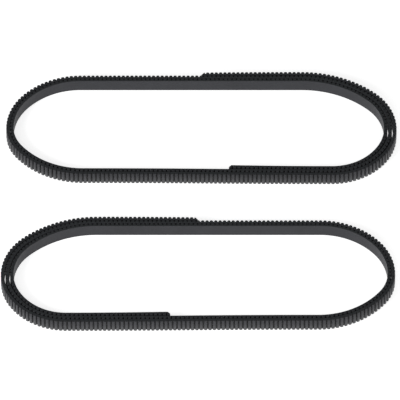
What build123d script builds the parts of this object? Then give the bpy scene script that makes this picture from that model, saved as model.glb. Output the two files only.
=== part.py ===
"""A pair of toothed rubber straps, each one wound two and a half times into a long loop.

Both straps stand on their edges on the ground plane, side by side along Y, with the smooth
back inside the loop and the teeth outside. The second strap is wound the other way round.
Each strap is three bonded layers: a smooth rubber backing, glass-fibre tension cords, and a
moulded tooth layer with a nylon face. Its two loose ends can flex, so each end is divided at
tooth valleys into short links that hinge at the cord line.

The strap's line is followed from its inner end to its outer end, along the cords.
"""
import os
from math import atan2, cos, degrees, radians, sin, tan

from build123d import *

# Strap section: a 3 mm curvilinear tooth profile, 10 mm wide
PITCH = 3.0
WIDTH = 10.0
THICKNESS = 2.4
TOOTH_HEIGHT = 1.2
TOOTH_ROOT = 2.24
TOOTH_FLANK_ANGLE = 76.0
CORD_DEPTH = 0.8
CORD_SIZE = 0.34
CORD_SPACING = 0.86
CORD_COUNT = 11

# Plan of the loop, measured to the smooth back of the innermost turn
FAR_SIDE = 39.2
NEAR_SIDE_RIGHT = 36.7
NEAR_SIDE_LEFT = 38.6
RIGHT_APEX = (126.0, -3.0)
LEFT_APEX = (-130.1, -2.0)
# Each quarter of an end: the radius at the apex, and the length from apex to straight
RIGHT_NEAR_QUARTER = (30.0, 36.0)
RIGHT_FAR_QUARTER = (33.0, 56.5)
LEFT_FAR_QUARTER = (37.0, 46.0)
LEFT_NEAR_QUARTER = (26.0, 48.0)

# How far each turn lies outside the one before it
FAR_STEP = 2.7
NEAR_STEP = 2.9
LEFT_STEP = 2.75
RIGHT_STEP = 3.2
OUTER_TAIL_LIFT = 0.5

# Loose ends, cut by a slanting knife: the cut's run along the strap is END_SLANT
END_SLANT = 2.2
INNER_TIP_X = 18.2
OUTER_TIP_X = -1.0
INNER_TIP_BOW = 0.9
OUTER_TIP_BOW = 0.5
LINK_TEETH = 7
INNER_LINKS = 2
OUTER_LINKS = 3
LINK_GAP = 0.3

# Where the two loops stand
LOOP_SPACING = 129.1
LOOP_STAGGER = 1.4

# Slack in the arithmetic: finding a station's run, closing an outline, skipping a stub of a run
STATION_SLACK = 1e-6
CLOSING_SLACK = 1e-9
SHORTEST_RUN = 1e-4

WEB = THICKNESS - TOOTH_HEIGHT
FAR_REACH = FAR_SIDE + 2 * FAR_STEP + OUTER_TAIL_LIFT
NEAR_REACH = NEAR_SIDE_RIGHT + 2 * NEAR_STEP
PAIR_CENTRE_Y = (FAR_REACH - NEAR_REACH) / 2


class StrapLine:
    """The strap's cord line: straight runs and arcs, each tangent to the last."""

    def __init__(self, x, y, heading):
        self.x, self.y, self.heading = x, y, heading
        self.runs = []
        self.length = 0.0

    def straight_to_x(self, x):
        """Run straight on until the line reaches this X."""
        self.add_run(abs((x - self.x) / cos(radians(self.heading))), 0.0)

    def bend(self, radius, angle):
        """Turn by an angle: to the left where it is positive, else to the right."""
        self.add_run(radius * radians(abs(angle)), 1 / radius if angle > 0 else -1 / radius)

    def add_run(self, length, curvature):
        """Append one run of constant curvature and move to its end."""
        run = (self.length, length, curvature, self.x, self.y, self.heading)
        self.runs.append(run)
        self.x, self.y, self.heading = self.along(run, length)
        self.length += length

    @staticmethod
    def along(run, distance):
        """The point and the heading at a distance from the start of one run."""
        _, _, curvature, x, y, heading = run
        start = radians(heading)
        if curvature == 0.0:
            return x + distance * cos(start), y + distance * sin(start), heading
        end = start + curvature * distance
        x += (sin(end) - sin(start)) / curvature
        y -= (cos(end) - cos(start)) / curvature
        return x, y, degrees(end)

    def at(self, station, outward=0.0):
        """The point and the heading at a station, moved towards the toothed side."""
        run = [each for each in self.runs if each[0] <= station + STATION_SLACK][-1]
        x, y, heading = self.along(run, station - run[0])
        turned = radians(heading)
        return x + outward * sin(turned), y - outward * cos(turned), heading

    def trace(self, first, last, outward=0.0):
        """Draw the line between two stations, inside a BuildLine block."""
        for start, length, curvature, _, _, _ in self.runs:
            low, high = max(start, first), min(start + length, last)
            if high - low < SHORTEST_RUN:
                continue
            ends = [self.at(station, outward)[:2] for station in (low, high - CLOSING_SLACK)]
            if curvature == 0.0:
                Line(*ends)
            else:
                middle = self.at((low + high) / 2, outward)[:2]
                ThreePointArc(ends[0], middle, ends[1])


def quarter_arcs(apex_radius, reach, half_width):
    """The shoulder radius and the angles of the two tangent arcs of one quarter of an end."""
    rise, run = half_width, reach - apex_radius
    shoulder = (run ** 2 + rise ** 2 - apex_radius ** 2) / (2 * (rise - apex_radius))
    shoulder_angle = degrees(atan2(run, shoulder - rise))
    return shoulder, shoulder_angle, 90 - shoulder_angle


def round_end(line, apex, entry, leaving, growth, sides):
    """Go round one end of the loop, from one straight side to the other.

    entry and leaving are the quarters' (apex radius, reach); growth is how far this turn lies
    outside the innermost one at the apex; sides are the Y of the two straight sides.
    """
    offset = growth + CORD_DEPTH
    direction = 1 if apex[0] > 0 else -1
    apex_x = apex[0] + direction * offset
    first = quarter_arcs(entry[0] + offset, entry[1] + offset, abs(sides[0] - apex[1]))
    second = quarter_arcs(leaving[0] + offset, leaving[1] + offset, abs(sides[1] - apex[1]))
    line.straight_to_x(apex_x - direction * (entry[1] + offset))
    line.bend(first[0], first[1])
    line.bend(entry[0] + offset, first[2])
    line.bend(leaving[0] + offset, second[2])
    line.bend(second[0], second[1])


def shift_side(line, x, shift):
    """Move sideways by a small amount on the way to an X, in two opposite gentle arcs."""
    half = abs(x - line.x) / 2
    radius = (half ** 2 + (shift / 2) ** 2) / abs(shift)
    angle = degrees(2 * atan2(abs(shift) / 2, half))
    turn = angle if shift > 0 else -angle
    line.bend(radius, turn)
    line.bend(radius, -turn)


def wind_strap():
    """The cord line of one whole strap, from its inner tip to its outer tip."""
    far = [FAR_SIDE + CORD_DEPTH + FAR_STEP * turn for turn in range(3)]
    far[2] += OUTER_TAIL_LIFT
    right = [-NEAR_SIDE_RIGHT - CORD_DEPTH - NEAR_STEP * turn for turn in range(3)]
    left = [-NEAR_SIDE_LEFT - CORD_DEPTH - NEAR_STEP * turn for turn in range(2)]

    next_straight = RIGHT_APEX[0] - RIGHT_NEAR_QUARTER[1]

    # The inner tip bows inwards, towards +Y, along one gentle arc
    tail = next_straight - INNER_TIP_X
    tail_radius = (tail ** 2 + INNER_TIP_BOW ** 2) / (2 * INNER_TIP_BOW)
    tail_angle = degrees(atan2(tail, tail_radius - INNER_TIP_BOW))
    line = StrapLine(INNER_TIP_X, right[0] + INNER_TIP_BOW, -tail_angle)
    line.bend(tail_radius, tail_angle)

    for turn in range(3):
        round_end(line, RIGHT_APEX, RIGHT_NEAR_QUARTER, RIGHT_FAR_QUARTER,
                  RIGHT_STEP * turn, (right[turn], far[turn]))
        if turn < 2:
            round_end(line, LEFT_APEX, LEFT_FAR_QUARTER, LEFT_NEAR_QUARTER,
                      LEFT_STEP * turn, (far[turn], left[turn]))
            shift_side(line, next_straight, right[turn + 1] - left[turn])

    # The outer tip lies back down on the turn below it along one gentle arc
    tail = line.x - OUTER_TIP_X
    tail_radius = (tail ** 2 + OUTER_TIP_BOW ** 2) / (2 * OUTER_TIP_BOW)
    line.bend(tail_radius, degrees(atan2(tail, tail_radius - OUTER_TIP_BOW)))
    return line


def toothed_edge(line, first, last):
    """The corners of the toothed side between two stations."""
    web = WEB - CORD_DEPTH
    tip = THICKNESS - CORD_DEPTH
    half_root = TOOTH_ROOT / 2
    half_tip = half_root - TOOTH_HEIGHT / tan(radians(TOOTH_FLANK_ANGLE))
    corners = [line.at(first, web)[:2]]
    for tooth in range(int(line.length / PITCH)):
        middle = (tooth + 0.5) * PITCH
        if first < middle < last:
            corners.append(line.at(middle - half_root, web)[:2])
            corners.append(line.at(middle - half_tip, tip)[:2])
            corners.append(line.at(middle + half_tip, tip)[:2])
            corners.append(line.at(middle + half_root, web)[:2])
    corners.append(line.at(last, web)[:2])
    return corners


def ribbon_part(line, first, last, sides, height):
    """A plain ribbon standing on edge, between two offsets from the cord line."""
    with BuildPart() as ribbon:
        with BuildSketch():
            with BuildLine():
                for side in sides:
                    line.trace(first, last, side)
                for station in (first, last - CLOSING_SLACK):
                    Line(*[line.at(station, side)[:2] for side in sides])
            make_face()
        extrude(amount=height)
    return ribbon.part


def make_cords(line, first, last):
    """The tension cords of one stretch, one above another across the strap's width."""
    strand = ribbon_part(line, first, last, (-CORD_SIZE / 2, CORD_SIZE / 2), CORD_SIZE)
    lowest = (WIDTH - CORD_SIZE - (CORD_COUNT - 1) * CORD_SPACING) / 2
    levels = [(0, 0, lowest + cord * CORD_SPACING) for cord in range(CORD_COUNT)]
    with BuildPart() as cords:
        with Locations(*levels):
            add(strand)
    return cords.part


def make_teeth(line, first, last):
    """The tooth layer of one stretch, from the cord line out to the tooth tips."""
    last -= CLOSING_SLACK
    edge = toothed_edge(line, first, last)
    with BuildPart() as teeth:
        with BuildSketch():
            with BuildLine():
                line.trace(first, last)
                Line(line.at(last)[:2], edge[-1])
                Polyline(*edge)
                Line(edge[0], line.at(first)[:2])
            make_face()
        extrude(amount=WIDTH)
    return teeth.part


def cut_ends(line, part, first, last):
    """Cut a stretch with the slanting knife wherever it holds one of the strap's ends."""
    end = int(line.length / PITCH) * PITCH
    cuts = []
    if first == 0:
        cuts.append((END_SLANT, 0, Keep.BOTTOM))
    if last == end:
        cuts.append((end, end - END_SLANT, Keep.TOP))
    for back_station, tip_station, keep in cuts:
        back = Vector(*line.at(back_station, -CORD_DEPTH)[:2])
        across = Vector(*line.at(tip_station, THICKNESS - CORD_DEPTH)[:2]) - back
        knife = Plane(origin=back, z_dir=(across.Y, -across.X, 0))
        with BuildPart() as trimmed:
            add(part)
            split(bisect_by=knife, keep=keep)
        part = trimmed.part
    return part


def make_stretch(line, first, last):
    """The backing, the cords and the tooth layer of one stretch of a strap."""
    layers = {
        "backing": ribbon_part(line, first, last, (-CORD_DEPTH, 0), WIDTH),
        "cords": make_cords(line, first, last),
        "teeth": make_teeth(line, first, last),
    }
    return {layer: cut_ends(line, part, first, last) for layer, part in layers.items()}


def stretches(teeth):
    """The stretches between the hinges: their names, and their first and last tooth valley."""
    inner = [LINK_TEETH * link for link in range(INNER_LINKS + 1)]
    outer = [teeth - LINK_TEETH * link for link in range(OUTER_LINKS + 1)]
    named = [("inner_link_%d" % (INNER_LINKS - link), inner[link], inner[link + 1])
             for link in range(INNER_LINKS)]
    named.append(("coil", inner[-1], outer[-1]))
    named += [("outer_link_%d" % (link + 1), outer[OUTER_LINKS - link],
               outer[OUTER_LINKS - link - 1]) for link in range(OUTER_LINKS)]
    return named


os.makedirs("parts", exist_ok=True)

strap_line = wind_strap()
tooth_count = int(strap_line.length / PITCH)
print("teeth", tooth_count, "strap length", tooth_count * PITCH)

upper_place = Location((LOOP_STAGGER, LOOP_SPACING / 2 - PAIR_CENTRE_Y, 0))
lower_place = Location((-LOOP_STAGGER, -LOOP_SPACING / 2 - PAIR_CENTRE_Y, 0))

for stretch, first_valley, last_valley in stretches(tooth_count):
    start = first_valley * PITCH
    end = last_valley * PITCH
    if first_valley > 0:
        start += LINK_GAP / 2
        hinge = strap_line.at(first_valley * PITCH)
        print(stretch, "starts at", [round(value, 3) for value in hinge])
    if last_valley < tooth_count:
        end -= LINK_GAP / 2
    for layer, piece in make_stretch(strap_line, start, end).items():
        with BuildPart() as upper:
            with Locations(upper_place):
                add(piece)
        with BuildPart() as lower:
            with Locations(lower_place):
                add(mirror(piece, about=Plane.YZ, mode=Mode.PRIVATE))
        for strap, placed in (("strap_a", upper.part), ("strap_b", lower.part)):
            placed.label = "%s_%s_%s" % (strap, stretch, layer)
            export_step(placed, "parts/%s.step" % placed.label)
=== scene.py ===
"""Looks of a pair of toothed rubber straps wound into long loops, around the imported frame."""
from math import atan2, cos, degrees, pi, radians, sin

import bmesh
import bpy
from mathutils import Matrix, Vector


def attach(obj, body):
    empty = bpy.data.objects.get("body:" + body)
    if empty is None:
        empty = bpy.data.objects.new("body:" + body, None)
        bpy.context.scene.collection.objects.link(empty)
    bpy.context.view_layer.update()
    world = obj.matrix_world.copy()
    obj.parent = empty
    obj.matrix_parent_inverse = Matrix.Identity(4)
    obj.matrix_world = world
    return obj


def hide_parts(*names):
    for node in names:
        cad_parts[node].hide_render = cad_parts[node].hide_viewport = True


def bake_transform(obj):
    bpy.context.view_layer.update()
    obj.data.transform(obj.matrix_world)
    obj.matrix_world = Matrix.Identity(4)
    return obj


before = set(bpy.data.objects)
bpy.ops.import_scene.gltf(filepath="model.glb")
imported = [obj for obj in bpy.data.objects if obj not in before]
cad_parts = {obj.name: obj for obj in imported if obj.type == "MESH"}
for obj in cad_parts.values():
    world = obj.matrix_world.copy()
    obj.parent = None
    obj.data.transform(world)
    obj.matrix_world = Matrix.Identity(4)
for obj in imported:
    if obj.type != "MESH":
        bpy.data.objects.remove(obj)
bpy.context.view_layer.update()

MM = 0.001

# Strap section, in millimetres as in the CAD model
PITCH = 3.0
WIDTH = 10.0
THICKNESS = 2.4
TOOTH_HEIGHT = 1.2
WEB = THICKNESS - TOOTH_HEIGHT
TOOTH_HALF_ROOT = 1.12
TOOTH_ROUNDNESS = 3.0
TOOTH_STATIONS = 11
CORD_DEPTH = 0.8
FACING = 0.2
BACK_EDGE = 0.12
FACING_EDGE = 0.07

# The slanting knife cuts at the tips: their run along the strap, and how far the rubber and the
# facing stop short of them, so that the cords stand proud
TIP_SLANT = 2.2
TIP_RECESS = 0.05

# Tension cords: CORD_STEPS rings to each tooth pitch
CORD_DIAMETER = 0.36
CORD_SPACING = 0.86
CORD_COUNT = 11
CORD_SIDES = 10
CORD_STEPS = 3

# A face is a cut edge where its normal's Z passes LEVEL; points closer than WELD are one point
LEVEL = 0.9
WELD = 0.0005
STATION_SLACK = 1e-6

# Corners sharper than these angles, in degrees, stay sharp in the shading
RUBBER_CORNER = 38
FACING_CORNER = 50

# Plan of the loop, measured to the smooth back of the innermost turn. Each quarter of an end
# has the radius at the apex, and the length from apex to straight
FAR_SIDE = 39.2
NEAR_SIDE_RIGHT = 36.7
NEAR_SIDE_LEFT = 38.6
RIGHT_APEX = (126.0, -3.0)
LEFT_APEX = (-130.1, -2.0)
RIGHT_NEAR_QUARTER = (30.0, 36.0)
RIGHT_FAR_QUARTER = (33.0, 56.5)
LEFT_FAR_QUARTER = (37.0, 46.0)
LEFT_NEAR_QUARTER = (26.0, 48.0)

# How far each turn lies outside the one before it
FAR_STEP = 2.7
NEAR_STEP = 2.9
LEFT_STEP = 2.75
RIGHT_STEP = 3.2
OUTER_TAIL_LIFT = 0.5

# The two tips, and how far each bows away from a straight line
INNER_TIP_X = 18.2
OUTER_TIP_X = -1.0
INNER_TIP_BOW = 0.9
OUTER_TIP_BOW = 0.5

# Loose ends: links between hinges at tooth valleys. The piece at a hinge runs HALF_LINK teeth from
# it towards the coil and one tooth more towards the tip; BEND_REACH on each side of the hinge gives
# two points that are worked out but not used
LINK_TEETH = 7
INNER_LINKS = 2
OUTER_LINKS = 3
HALF_LINK = 3
BEND_REACH = 5.0

# Painted shade in the tooth valleys, in place of the shadow between the teeth: it fades out between
# these distances from the valley's middle, and VALLEY_SHADE is the share of the colour that is left
# in the valley
VALLEY_SHADE_FADE = (0.25, 0.8)
VALLEY_SHADE = 0.4
FACING_SHINE = 0.44

# Where the two loops stand
LOOP_SPACING = 129.1
LOOP_STAGGER = 1.4
FAR_REACH = FAR_SIDE + 2 * FAR_STEP + OUTER_TAIL_LIFT
NEAR_REACH = NEAR_SIDE_RIGHT + 2 * NEAR_STEP
PAIR_CENTRE_Y = (FAR_REACH - NEAR_REACH) / 2

# Stage, light and camera, in metres: a light has a name, a place, a size and a power
FLOOR_HALF = 4
FLOOR_DROP = 0.00005
FLOOR_GLOW = 0.62
WORLD_STRENGTH = 0.36
AREA_LIGHTS = (
    ("key_left", (-1.1, -0.9, 0.8), 0.7, 12),
    ("front_soft", (0.3, -1.4, 0.7), 0.9, 7),
)
CAMERA_ELEVATION = 51.0
CAMERA_DISTANCE = 8.0
CAMERA_REACH = 20
CAMERA_TARGET = (0.0002, -0.0037, WIDTH * MM)
FRAME_WIDTH = 0.2752


class StrapLine:
    """The strap's cord line: straight runs and arcs, each tangent to the last."""

    def __init__(self, x, y, heading):
        self.x, self.y, self.heading = x, y, heading
        self.runs = []
        self.length = 0.0

    def straight_to_x(self, x):
        """Run straight on until the line reaches this X."""
        self.add_run(abs((x - self.x) / cos(radians(self.heading))), 0.0)

    def bend(self, radius, angle):
        """Turn by an angle: to the left where it is positive, else to the right."""
        self.add_run(radius * radians(abs(angle)), 1 / radius if angle > 0 else -1 / radius)

    def add_run(self, length, curvature):
        """Append one run of constant curvature and move to its end."""
        run = (self.length, length, curvature, self.x, self.y, self.heading)
        self.runs.append(run)
        self.x, self.y, self.heading = self.along(run, length)
        self.length += length

    @staticmethod
    def along(run, distance):
        """The point and the heading at a distance from the start of one run."""
        _, _, curvature, x, y, heading = run
        start = radians(heading)
        if curvature == 0.0:
            return x + distance * cos(start), y + distance * sin(start), heading
        end = start + curvature * distance
        x += (sin(end) - sin(start)) / curvature
        y -= (cos(end) - cos(start)) / curvature
        return x, y, degrees(end)

    def at(self, station, outward=0.0):
        """The point at a station, moved from the cord line towards the toothed side."""
        run = [each for each in self.runs if each[0] <= station + STATION_SLACK][-1]
        x, y, heading = self.along(run, station - run[0])
        turned = radians(heading)
        return x + outward * sin(turned), y - outward * cos(turned)


def quarter_arcs(apex_radius, reach, half_width):
    """The shoulder radius and the angles of the two tangent arcs of one quarter of an end."""
    run = reach - apex_radius
    shoulder = (run ** 2 + half_width ** 2 - apex_radius ** 2) / (2 * (half_width - apex_radius))
    shoulder_angle = degrees(atan2(run, shoulder - half_width))
    return shoulder, shoulder_angle, 90 - shoulder_angle


def round_end(line, apex, entry, leaving, growth, sides):
    """Go round one end of the loop, from one straight side to the other."""
    offset = growth + CORD_DEPTH
    direction = 1 if apex[0] > 0 else -1
    apex_x = apex[0] + direction * offset
    first = quarter_arcs(entry[0] + offset, entry[1] + offset, abs(sides[0] - apex[1]))
    second = quarter_arcs(leaving[0] + offset, leaving[1] + offset, abs(sides[1] - apex[1]))
    line.straight_to_x(apex_x - direction * (entry[1] + offset))
    line.bend(first[0], first[1])
    line.bend(entry[0] + offset, first[2])
    line.bend(leaving[0] + offset, second[2])
    line.bend(second[0], second[1])


def shift_side(line, x, shift):
    """Move sideways by a small amount on the way to an X, in two opposite gentle arcs."""
    half = abs(x - line.x) / 2
    radius = (half ** 2 + (shift / 2) ** 2) / abs(shift)
    angle = degrees(2 * atan2(abs(shift) / 2, half))
    turn = angle if shift > 0 else -angle
    line.bend(radius, turn)
    line.bend(radius, -turn)


def wind_strap():
    """The cord line of one whole strap, from its inner tip to its outer tip."""
    far = [FAR_SIDE + CORD_DEPTH + FAR_STEP * turn for turn in range(3)]
    far[2] += OUTER_TAIL_LIFT
    right = [-NEAR_SIDE_RIGHT - CORD_DEPTH - NEAR_STEP * turn for turn in range(3)]
    left = [-NEAR_SIDE_LEFT - CORD_DEPTH - NEAR_STEP * turn for turn in range(2)]
    next_straight = RIGHT_APEX[0] - RIGHT_NEAR_QUARTER[1]

    tail = next_straight - INNER_TIP_X
    tail_radius = (tail ** 2 + INNER_TIP_BOW ** 2) / (2 * INNER_TIP_BOW)
    tail_angle = degrees(atan2(tail, tail_radius - INNER_TIP_BOW))
    line = StrapLine(INNER_TIP_X, right[0] + INNER_TIP_BOW, -tail_angle)
    line.bend(tail_radius, tail_angle)

    for turn in range(3):
        round_end(line, RIGHT_APEX, RIGHT_NEAR_QUARTER, RIGHT_FAR_QUARTER,
                  RIGHT_STEP * turn, (right[turn], far[turn]))
        if turn < 2:
            round_end(line, LEFT_APEX, LEFT_FAR_QUARTER, LEFT_NEAR_QUARTER,
                      LEFT_STEP * turn, (far[turn], left[turn]))
            shift_side(line, next_straight, right[turn + 1] - left[turn])

    tail = line.x - OUTER_TIP_X
    tail_radius = (tail ** 2 + OUTER_TIP_BOW ** 2) / (2 * OUTER_TIP_BOW)
    line.bend(tail_radius, degrees(atan2(tail, tail_radius - OUTER_TIP_BOW)))
    return line


LINE = wind_strap()
TEETH = int(LINE.length / PITCH)


def tooth_profile(inset):
    """One pitch of the toothed side, valley to valley: (along, height over the back) pairs."""
    half = TOOTH_HALF_ROOT - inset
    points = [(-PITCH / 2, WEB - inset)]
    for step in range(TOOTH_STATIONS):
        turn = pi * (1 - step / (TOOTH_STATIONS - 1))
        across = abs(cos(turn)) ** (2 / TOOTH_ROUNDNESS)
        rise = max(sin(turn), 0.0) ** (2 / TOOTH_ROUNDNESS)
        side = 1 if cos(turn) > 0 else -1
        points.append((side * half * across, WEB - inset + TOOTH_HEIGHT * rise))
    return points


def toothed_side(first, last, inset):
    """The profile of the teeth from one valley to another: (station, height) pairs."""
    side = []
    for tooth in range(first, last):
        middle = (tooth + 0.5) * PITCH
        side += [(middle + along, height) for along, height in tooth_profile(inset)]
    side.append((last * PITCH, WEB - inset))
    return side


def knife_cuts(height, recess):
    """The first and last station of the strap at a height over its back."""
    slope = TIP_SLANT * height / THICKNESS
    return TIP_SLANT - slope + recess, TEETH * PITCH - slope - recess


class Strap:
    """Where one strap stands: strap B is strap A mirrored in X."""

    def __init__(self, name, mirror, x, y):
        self.name, self.mirror, self.x, self.y = name, mirror, x, y

    def place(self, station, height, z, recess=TIP_RECESS):
        """A point of the strap, kept inside the slanting knife cuts at its two ends."""
        first, last = knife_cuts(height, recess)
        x, y = LINE.at(min(max(station, first), last), height - CORD_DEPTH)
        return Vector((self.mirror * x + self.x, y + self.y, z)) * MM


STRAPS = (
    Strap("strap_a", 1, LOOP_STAGGER, LOOP_SPACING / 2 - PAIR_CENTRE_Y),
    Strap("strap_b", -1, -LOOP_STAGGER, -LOOP_SPACING / 2 - PAIR_CENTRE_Y),
)


def ring_mesh(name, strap, skins, recess=TIP_RECESS):
    """Closed skins through rings of (station, height, z), with lengths along them as UVs."""
    vertices = []
    faces = []
    lengths = []
    for rings in skins:
        count = len(rings[0])
        base = len(vertices)
        vertices += [strap.place(*point, recess) for ring in rings for point in ring]
        for index in range(len(rings) - 1):
            for side in range(count):
                after = (side + 1) % count
                corners = [(index, side), (index, after), (index + 1, after), (index + 1, side)]
                faces.append([base + ring * count + point for ring, point in corners])
                lengths.append([(rings[ring][point][0], sum(rings[ring][point][1:]))
                                for ring, point in corners])
        for ring in (0, len(rings) - 1):
            faces.append([base + ring * count + point for point in range(count)])
            lengths.append([(point[1], point[2]) for point in rings[ring]])
    mesh = bpy.data.meshes.new(name)
    mesh.from_pydata(vertices, [], faces)
    layer = mesh.uv_layers.new(name="along")
    flat = [pair for face in lengths for pair in face]
    for loop, pair in zip(layer.data, flat):
        loop.uv = pair
    clean_skin(mesh)
    piece = bpy.data.objects.new(name, mesh)
    bpy.context.scene.collection.objects.link(piece)
    return piece


def clean_skin(mesh):
    """Weld the points that a knife cut brings together, and turn every face outwards."""
    work = bmesh.new()
    work.from_mesh(mesh)
    bmesh.ops.remove_doubles(work, verts=work.verts, dist=WELD * MM)
    bmesh.ops.dissolve_degenerate(work, edges=work.edges, dist=WELD * MM)
    bmesh.ops.recalc_face_normals(work, faces=work.faces)
    work.to_mesh(mesh)
    work.free()
    mesh.update()


def soften(piece, angle):
    """Smooth shading, except across real corners."""
    for face in piece.data.polygons:
        face.use_smooth = True
    piece.data.set_sharp_from_angle(angle=radians(angle))


def make_rubber(strap, name, first, last):
    """The moulded body of one stretch: smooth back, cut edges and the cores of the teeth."""
    rings = []
    outer = toothed_side(first, last, 0)
    inner = toothed_side(first, last, FACING)
    for (station, _), (core_station, core) in zip(outer, inner):
        rings.append([
            (station, 0, BACK_EDGE),
            (station, 0, WIDTH - BACK_EDGE),
            (station, BACK_EDGE, WIDTH),
            (core_station, core, WIDTH),
            (core_station, core, 0),
            (station, BACK_EDGE, 0),
        ])
    piece = ring_mesh(name, strap, [rings])
    soften(piece, RUBBER_CORNER)
    return piece


def make_facing(strap, name, first, last):
    """The woven skin over the teeth of one stretch."""
    rings = []
    inside = []
    inner = toothed_side(first, last, FACING)
    edge = toothed_side(first, last, FACING_EDGE)
    outer = toothed_side(first, last, 0)
    for under, rim, over in zip(inner, edge, outer):
        rings.append([
            (*under, 0),
            (*under, WIDTH),
            (*rim, WIDTH),
            (*over, WIDTH - FACING_EDGE),
            (*over, FACING_EDGE),
            (*rim, 0),
        ])
        start, end = knife_cuts(under[1], TIP_RECESS)
        inside.append(start < under[0] < end)
    # Beyond a knife cut no more than one ring is kept, so that the skin's end lies in the cut
    left = max(inside.index(True) - 1, 0)
    right = len(rings) - max(inside[::-1].index(True) - 1, 0)
    rings = rings[left:right]
    piece = ring_mesh(name, strap, [rings])
    soften(piece, FACING_CORNER)
    return piece


def make_cords(strap, name, first, last):
    """The tension cords of one stretch, standing just proud of the rubber at a cut end."""
    cords = []
    for cord in range(CORD_COUNT):
        middle = WIDTH / 2 + (cord - (CORD_COUNT - 1) / 2) * CORD_SPACING
        rings = []
        for step in range((last - first) * CORD_STEPS + 1):
            station = first * PITCH + step * PITCH / CORD_STEPS
            ring = []
            for side in range(CORD_SIDES):
                turn = 2 * pi * side / CORD_SIDES
                height = CORD_DEPTH + CORD_DIAMETER / 2 * cos(turn)
                ring.append((station, height, middle + CORD_DIAMETER / 2 * sin(turn)))
            rings.append(ring)
        cords.append(rings)
    piece = ring_mesh(name, strap, cords, 0)
    soften(piece, RUBBER_CORNER)
    return piece


class Shader:
    """A Principled material that is built up node by node."""

    def __init__(self, name, colour, roughness):
        self.material = bpy.data.materials.new(name)
        self.material.use_nodes = True
        self.tree = self.material.node_tree
        self.base = self.tree.nodes["Principled BSDF"]
        self.base.inputs["Base Color"].default_value = (*colour, 1)
        self.base.inputs["Roughness"].default_value = roughness

    def node(self, kind, **values):
        """Add a node: a value goes to the input of that name, or else to the node's own setting."""
        node = self.tree.nodes.new(kind)
        for key, value in values.items():
            if key in node.inputs:
                node.inputs[key].default_value = value
            else:
                setattr(node, key, value)
        return node

    def link(self, out, into):
        self.tree.links.new(out, into)

    def coordinates(self, output, scale):
        source = self.node("ShaderNodeTexCoord")
        mapping = self.node("ShaderNodeMapping", Scale=scale)
        self.link(source.outputs[output], mapping.inputs["Vector"])
        return mapping.outputs["Vector"]

    def noise(self, vector, scale, detail=4.0, roughness=0.6):
        node = self.node("ShaderNodeTexNoise", Scale=scale, Detail=detail, Roughness=roughness)
        self.link(vector, node.inputs["Vector"])
        return node.outputs["Fac"]

    def between(self, factor, low, high, source=(0.0, 1.0)):
        """Spread a factor, read between two source values, over low to high."""
        node = self.node("ShaderNodeMapRange")
        node.inputs["From Min"].default_value = source[0]
        node.inputs["From Max"].default_value = source[1]
        node.inputs["To Min"].default_value = low
        node.inputs["To Max"].default_value = high
        self.link(factor, node.inputs["Value"])
        return node.outputs["Result"]

    def tint(self, factor, dark, light):
        """A colour from dark to light, over the middle part of a factor."""
        ramp = self.node("ShaderNodeValToRGB")
        ramp.color_ramp.elements[0].position = 0.3
        ramp.color_ramp.elements[1].position = 0.7
        ramp.color_ramp.elements[0].color = (*dark, 1)
        ramp.color_ramp.elements[1].color = (*light, 1)
        self.link(factor, ramp.inputs["Fac"])
        return ramp.outputs["Color"]

    def bump(self, heights, strength, distance):
        """Lay several bump textures over each other on the surface."""
        previous = None
        for height, amount in zip(heights, strength):
            node = self.node("ShaderNodeBump", Strength=amount, Distance=distance)
            self.link(height, node.inputs["Height"])
            if previous:
                self.link(previous, node.inputs["Normal"])
            previous = node.outputs["Normal"]
        self.link(previous, self.base.inputs["Normal"])


def rubber_material():
    """Ground neoprene: matt, faintly streaked along the strap, with dust-fine grain."""
    shader = Shader("strap_rubber", (0.016, 0.0168, 0.021), 0.6)
    shader.base.inputs["Specular IOR Level"].default_value = 0.34
    shader.base.inputs["Sheen Weight"].default_value = 0.06
    along = shader.coordinates("UV", (0.12, 3.0, 1.0))
    everywhere = shader.coordinates("Object", (1000.0, 1000.0, 1000.0))
    streaks = shader.noise(along, 2.0, 6.0)
    grain = shader.noise(everywhere, 5.0, 3.0)
    cloud = shader.noise(everywhere, 0.06, 3.0)
    colour = shader.tint(cloud, (0.0125, 0.0131, 0.0172), (0.0190, 0.0198, 0.0248))
    shader.link(colour, shader.base.inputs["Base Color"])
    shader.link(shader.between(streaks, 0.5, 0.7), shader.base.inputs["Roughness"])
    shader.bump((streaks, grain), (0.10, 0.16), 0.00008)
    return shader.material


def cut_edge_material():
    """The sides that the slitting knife left: darker, with fine drag marks up and down."""
    shader = Shader("cut_edge", (0.012, 0.0135, 0.0150), 0.72)
    shader.base.inputs["Specular IOR Level"].default_value = 0.3
    everywhere = shader.coordinates("Object", (1000.0, 1000.0, 1000.0))
    drag = shader.noise(everywhere, 3.0, 5.0)
    specks = shader.noise(everywhere, 0.4, 3.0)
    colour = shader.tint(specks, (0.0145, 0.0165, 0.0182), (0.0225, 0.0255, 0.0280))
    shader.link(colour, shader.base.inputs["Base Color"])
    shader.link(shader.between(drag, 0.62, 0.82), shader.base.inputs["Roughness"])
    shader.bump((drag,), (0.25,), 0.00006)
    return shader.material


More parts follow.
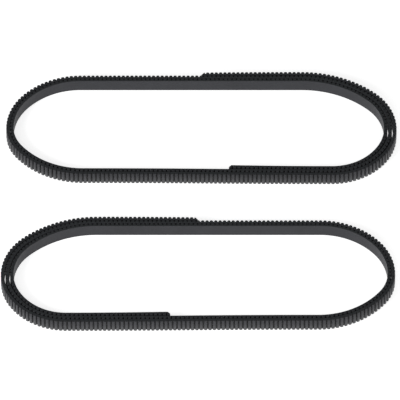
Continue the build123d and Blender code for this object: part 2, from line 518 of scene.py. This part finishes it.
def facing_material():
    """Tight black nylon twill over the teeth; painted shade darkens the valleys and lowers their
    specular level, so the crests read glossier.
    """
    shader = Shader("tooth_facing", (0.016, 0.0165, 0.019), 0.5)
    shader.base.inputs["Sheen Weight"].default_value = 0.12
    along = shader.coordinates("UV", (1.0, 1.0, 1.0))
    warp = shader.node("ShaderNodeTexWave", Scale=1.05, Distortion=0.3, bands_direction="DIAGONAL")
    weft = shader.node("ShaderNodeTexWave", Scale=1.6, Distortion=0.3, bands_direction="Y")
    shader.link(along, warp.inputs["Vector"])
    shader.link(along, weft.inputs["Vector"])
    everywhere = shader.coordinates("Object", (1000.0, 1000.0, 1000.0))
    wear = shader.noise(everywhere, 0.5, 4.0)
    colour = shader.tint(wear, (0.0118, 0.0122, 0.0155), (0.0215, 0.0222, 0.0272))
    split = shader.node("ShaderNodeSeparateXYZ")
    shader.link(along, split.inputs["Vector"])
    # Painted shade: the colour and the specular level drop towards the middle of each tooth valley
    from_valley = shader.node("ShaderNodeMath", operation="PINGPONG")
    from_valley.inputs[1].default_value = PITCH / 2
    shader.link(split.outputs["X"], from_valley.inputs[0])
    unshaded_share = shader.between(from_valley.outputs["Value"], VALLEY_SHADE, 1.0, VALLEY_SHADE_FADE)
    shaded = shader.node("ShaderNodeVectorMath", operation="SCALE")
    shader.link(colour, shaded.inputs["Vector"])
    shader.link(unshaded_share, shaded.inputs["Scale"])
    shader.link(shaded.outputs["Vector"], shader.base.inputs["Base Color"])
    shine = shader.between(unshaded_share, 0.0, FACING_SHINE)
    shader.link(shine, shader.base.inputs["Specular IOR Level"])
    shader.link(shader.between(wear, 0.42, 0.62), shader.base.inputs["Roughness"])
    shader.bump((warp.outputs["Fac"], weft.outputs["Fac"]), (0.2, 0.2), 0.00005)
    return shader.material


def cord_material():
    """Twisted glass-fibre strand, pale, with its ply showing as fine slanted bands."""
    shader = Shader("tension_cord", (0.55, 0.54, 0.50), 0.45)
    everywhere = shader.coordinates("Object", (1000.0, 1000.0, 1000.0))
    ply = shader.node("ShaderNodeTexWave", Scale=3.0, Distortion=0.6, bands_direction="DIAGONAL")
    shader.link(everywhere, ply.inputs["Vector"])
    colour = shader.tint(ply.outputs["Fac"], (0.34, 0.33, 0.30), (0.62, 0.61, 0.57))
    shader.link(colour, shader.base.inputs["Base Color"])
    shader.bump((ply.outputs["Fac"],), (0.3,), 0.00003)
    return shader.material


RUBBER = rubber_material()
CUT_EDGE = cut_edge_material()
NYLON = facing_material()
CORD = cord_material()

LAYERS = (
    ("rubber", "backing", make_rubber, (RUBBER, CUT_EDGE), "strap_rubber"),
    ("facing", "teeth", make_facing, (NYLON,), "tooth_facing"),
    ("cords", "cords", make_cords, (CORD,), "tension_cord"),
)


def bends():
    """The hinges from the coil outwards: (parent, child, hinge valley, first, last valley)."""
    found = []
    inner_root = INNER_LINKS * LINK_TEETH
    outer_root = TEETH - OUTER_LINKS * LINK_TEETH
    for link in range(INNER_LINKS):
        parent = "coil" if link == 0 else "inner_link_%d" % link
        valley = inner_root - link * LINK_TEETH
        first = 0 if link == INNER_LINKS - 1 else valley - HALF_LINK - 1
        found.append((parent, "inner_link_%d" % (link + 1), valley, first, valley + HALF_LINK))
    for link in range(OUTER_LINKS):
        parent = "coil" if link == 0 else "outer_link_%d" % link
        valley = outer_root + link * LINK_TEETH
        last = TEETH if link == OUTER_LINKS - 1 else valley + HALF_LINK + 1
        found.append((parent, "outer_link_%d" % (link + 1), valley, valley - HALF_LINK, last))
    return found


def dress(piece, materials):
    """Give a piece its surface and, on its level cut edges, the cut material."""
    for material in materials:
        piece.data.materials.append(material)
    if len(materials) > 1:
        for face in piece.data.polygons:
            face.material_index = 1 if abs(face.normal.z) > LEVEL else 0


def make_strap(strap):
    """All the pieces of one strap: the coil, and one piece around each hinge."""
    inner_root = INNER_LINKS * LINK_TEETH + HALF_LINK
    outer_root = TEETH - OUTER_LINKS * LINK_TEETH - HALF_LINK
    for layer, node, maker, materials, slot in LAYERS:
        coil_name = "%s_coil" % strap.name
        if layer != "cords":
            piece = maker(strap, "%s_wound_%s" % (strap.name, layer), inner_root, outer_root)
            dress(piece, materials)
            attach(piece, coil_name)
            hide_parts("%s_%s" % (coil_name, node))
        for parent, child, valley, first, last in bends():
            piece = maker(strap, "%s_%s_bend_%s" % (strap.name, child, layer), first, last)
            dress(piece, materials)
            outward = 1 if child.startswith("outer") else -1
            start = strap.place(valley * PITCH - outward * BEND_REACH, CORD_DEPTH, WIDTH / 2)
            end = strap.place(valley * PITCH + outward * BEND_REACH, CORD_DEPTH, WIDTH / 2)
            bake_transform(piece)
            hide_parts("%s_%s_%s" % (strap.name, child, node))


for each_strap in STRAPS:
    make_strap(each_strap)

# The cords inside the coils stay as they are in the frame, with the strand's surface
for node_name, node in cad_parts.items():
    if node_name.endswith("_coil_cords"):
        node.data.materials.clear()
        node.data.materials.append(CORD)


def make_floor():
    """A pale, faintly glowing floor, just under the straps."""
    half = FLOOR_HALF
    corners = [(-half, -half, 0), (half, -half, 0), (half, half, 0), (-half, half, 0)]
    mesh = bpy.data.meshes.new("floor")
    mesh.from_pydata(corners, [], [(0, 1, 2, 3)])
    floor = bpy.data.objects.new("floor", mesh)
    floor.location.z = -FLOOR_DROP
    bpy.context.scene.collection.objects.link(floor)
    pale = Shader("pale_floor", (0.93, 0.93, 0.93), 0.9)
    pale.base.inputs["Emission Color"].default_value = (1, 1, 1, 1)
    pale.base.inputs["Emission Strength"].default_value = FLOOR_GLOW
    floor.data.materials.append(pale.material)


def area_light(name, place, size, power):
    """A soft square light that points at the middle of the floor."""
    data = bpy.data.lights.new(name, "AREA")
    data.size = size
    data.energy = power
    light = bpy.data.objects.new(name, data)
    light.location = place
    light.rotation_euler = (-Vector(place)).to_track_quat("-Z", "Y").to_euler()
    bpy.context.scene.collection.objects.link(light)


def make_world():
    """Even white light from all round, shown as it is, without a film look."""
    world = bpy.data.worlds.new("studio")
    world.use_nodes = True
    background = world.node_tree.nodes["Background"]
    background.inputs["Color"].default_value = (1, 1, 1, 1)
    background.inputs["Strength"].default_value = WORLD_STRENGTH
    bpy.context.scene.world = world
    bpy.context.scene.view_settings.view_transform = "Standard"


def make_camera():
    """A long lens, far away, looking down on the straps from the front."""
    rise = radians(CAMERA_ELEVATION)
    away = Vector((0, -cos(rise), sin(rise)))
    data = bpy.data.cameras.new("camera")
    data.lens = data.sensor_width * CAMERA_DISTANCE / FRAME_WIDTH
    data.clip_end = CAMERA_REACH
    camera = bpy.data.objects.new("camera", data)
    camera.location = Vector(CAMERA_TARGET) + away * CAMERA_DISTANCE
    camera.rotation_euler = (-away).to_track_quat("-Z", "Y").to_euler()
    bpy.context.scene.collection.objects.link(camera)
    bpy.context.scene.camera = camera


make_floor()
for light_setup in AREA_LIGHTS:
    area_light(*light_setup)
make_world()
make_camera()
